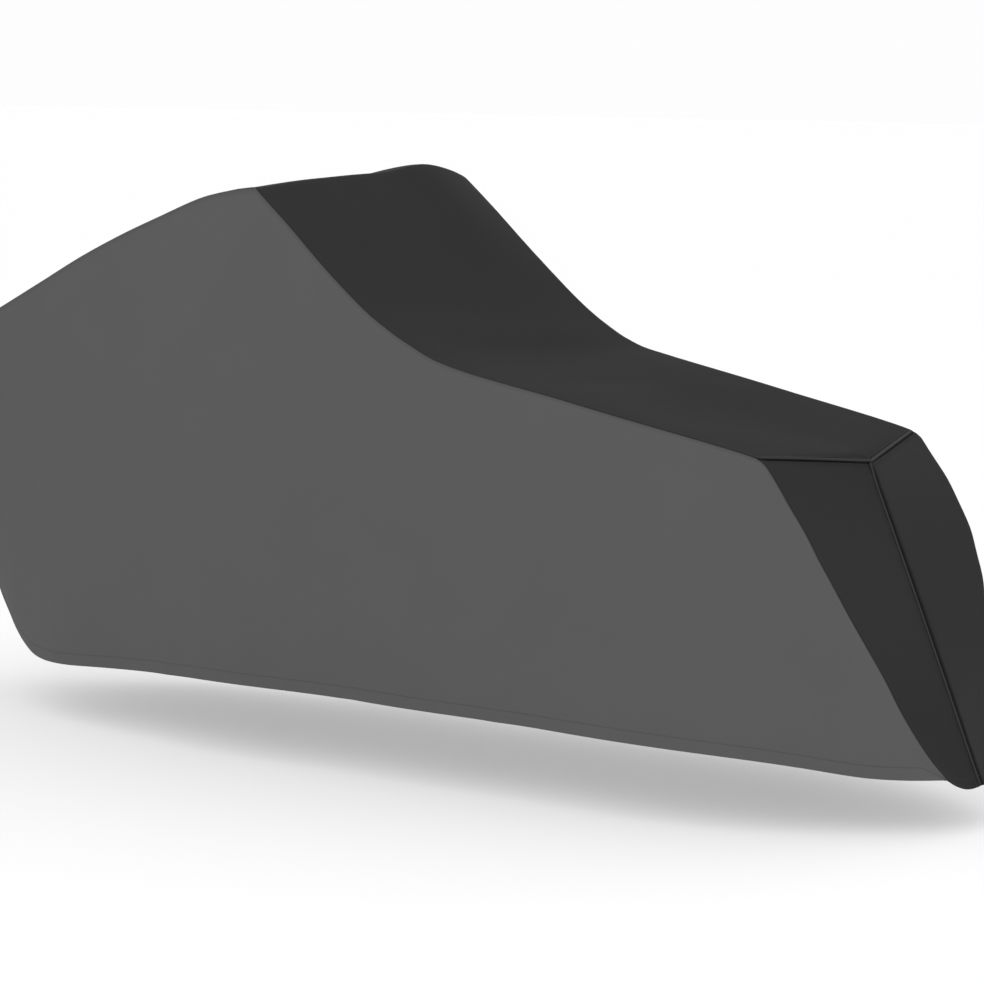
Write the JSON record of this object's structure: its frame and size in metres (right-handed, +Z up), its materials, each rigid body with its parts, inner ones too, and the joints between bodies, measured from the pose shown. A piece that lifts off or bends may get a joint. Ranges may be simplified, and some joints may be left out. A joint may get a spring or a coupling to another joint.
{
  "type": "fitted cargo bicycle cover",
  "caption": "Long fitted cover in its worn shape, hollow and open at the hem: mid-grey sides, a dark strip over a raised crest to a V-shaped brow, and a prow-like front.",
  "frame": {"origin": "under the crest, the highest line of the cover: its inner face on the middle line, where what it covers holds it up", "axes": "+X along the cover to its nose, +Y to the cover's left side, +Z up"},
  "size_m": [2.578, 0.6852, 1.0888],
  "materials": {
    "side_cloth": "matt plain weave, mid grey",
    "strip_cloth": "matt plain weave, charcoal",
    "piping_cloth": "smooth woven piping, dark grey"
  },
  "bodies": {
    "root": {"side_right": "side_cloth", "side_left": "side_cloth", "top_panel": "strip_cloth", "back_panel": "strip_cloth", "front_right": "strip_cloth", "front_left": "strip_cloth", "brow_piping": "piping_cloth", "nose_piping": "piping_cloth"}
  },
  "joints": []
}
